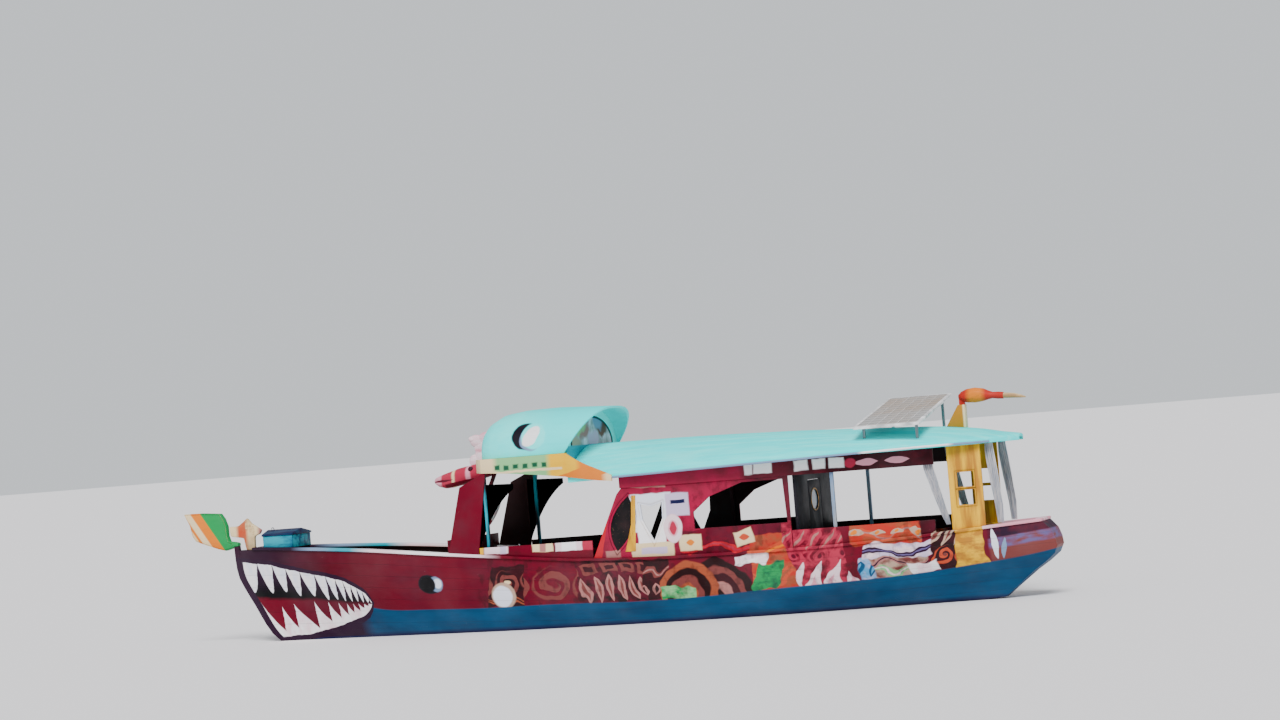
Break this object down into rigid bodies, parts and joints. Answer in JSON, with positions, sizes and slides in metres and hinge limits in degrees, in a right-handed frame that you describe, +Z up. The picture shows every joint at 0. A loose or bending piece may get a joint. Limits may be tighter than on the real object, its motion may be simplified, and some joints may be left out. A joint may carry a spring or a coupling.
{
  "type": "painted wooden river fishing boat with a canopy roof",
  "caption": "Long painted wooden fishing boat with a raked stem, canopy roof, helm cowl, side panels with cut openings and a keel with rudder and propeller.",
  "frame": {"origin": "amidships on the centreline at the waterline", "axes": "+X towards the bow, +Y to port, +Z up"},
  "size_m": [14.232, 2.7698, 3.865],
  "materials": {
    "hull_paint": "gloss crimson paint on planks, darker toward the bow, worn at the rubbing edges",
    "bottom_paint": "blue boot-top and bottom paint, weathered at the waterline",
    "rail_paint": "pink and white gloss paint, scuffed",
    "house_paint": "crimson and maroon paint with painted ornament",
    "roof_paint": "pale turquoise roof paint, slightly chalky",
    "carving_paint": "bright paint on carved wood, in several colours",
    "ochre_paint": "ochre paint over visible grain",
    "dark_wood": "dark stained wood",
    "deck_wood": "worn oiled planks",
    "varnished_wood": "varnished hardwood",
    "lifebuoy_shell": "white shell, weathered",
    "net_twine": "knotted white twine netting, gathered",
    "panel_face": "pale solar cells under glass in a white frame",
    "stand_metal": "grey painted steel bar",
    "engine_iron": "painted iron block",
    "bronze": "cast bronze with dull patina"
  },
  "bodies": {
    "boat": {"hull": "hull_paint", "hull_bow": "hull_paint", "hull_bottom": "bottom_paint", "foredeck": "deck_wood", "cabin_sole": "deck_wood", "aft_deck": "deck_wood", "gunwale_port": "rail_paint", "gunwale_starboard": "rail_paint", "transom_cap": "rail_paint", "keel": "bottom_paint", "stem_post": "hull_paint", "stem_head": "carving_paint", "bow_bird": "carving_paint", "bow_locker": "roof_paint", "front_board_port": "house_paint", "front_board_starboard": "house_paint", "front_coaming_port": "rail_paint", "front_coaming_starboard": "rail_paint", "aft_coaming_port": "house_paint", "aft_coaming_starboard": "house_paint", "side_panel_port": "house_paint", "side_panel_starboard": "house_paint", "valance_port": "house_paint", "valance_starboard": "house_paint", "front_post_port": "dark_wood", "front_post_starboard": "dark_wood", "mid_post_port": "house_paint", "mid_post_starboard": "house_paint", "aft_post_port": "dark_wood", "aft_post_starboard": "dark_wood", "quarter_board_port": "ochre_paint", "quarter_board_starboard": "ochre_paint", "roof": "roof_paint", "cowl": "roof_paint", "cowl_back": "carving_paint", "lip_band": "carving_paint", "brow_head": "carving_paint", "cab_front": "house_paint", "lifebuoy": "lifebuoy_shell", "helm_console": "deck_wood", "helm_seat": "deck_wood", "bench_port": "deck_wood", "bench_starboard": "deck_wood", "cabin_bulkhead": "dark_wood", "engine_box": "deck_wood", "engine": "engine_iron", "solar_panel": "panel_face", "solar_stand": "stand_metal", "roof_mast": "ochre_paint", "finial_bird": "carving_paint", "net_fore_port": "net_twine", "net_fore_starboard": "net_twine", "net_aft_port": "net_twine", "net_aft_starboard": "net_twine"},
    "wheel": {"steering_wheel": "varnished_wood"},
    "rudder_body": {"rudder": "bottom_paint"},
    "propeller_body": {"propeller": "bronze"},
    "locker_lid": {"bow_locker_lid": "bottom_paint"},
    "engine_cover": {"engine_lid": "deck_wood"},
    "door": {"cabin_door": "dark_wood"}
  },
  "joints": [
    {"name": "wheel_turn", "type": "hinge", "parent": "boat", "child": "wheel", "pos_m": [1.39, 0, 1.02], "axis": [1, 0, 0], "range_deg": [-540, 540]},
    {"name": "rudder_turn", "type": "hinge", "parent": "boat", "child": "rudder_body", "pos_m": [-5.56, 0, 0], "axis": [0, 0, 1], "range_deg": [-35, 35]},
    {"name": "propeller_spin", "type": "hinge", "parent": "boat", "child": "propeller_body", "pos_m": [-5, 0, -0.285], "axis": [1, 0, 0], "continuous": true},
    {"name": "locker_lid_open", "type": "hinge", "parent": "boat", "child": "locker_lid", "pos_m": [5.375, 0, 1.6903], "axis": [0, -1, 0], "range_deg": [0, 100]},
    {"name": "engine_lid_open", "type": "hinge", "parent": "boat", "child": "engine_cover", "pos_m": [-4.34, 0, 0.9003], "axis": [0, -1, 0], "range_deg": [0, 95]},
    {"name": "door_open", "type": "hinge", "parent": "boat", "child": "door", "pos_m": [-3.1067, 0.35, 1], "axis": [0, 0, 1], "range_deg": [0, 100]}
  ],
  "couplings": [
    {"joint": "rudder_turn", "follows": "wheel_turn", "ratio": 0.0648}
  ]
}
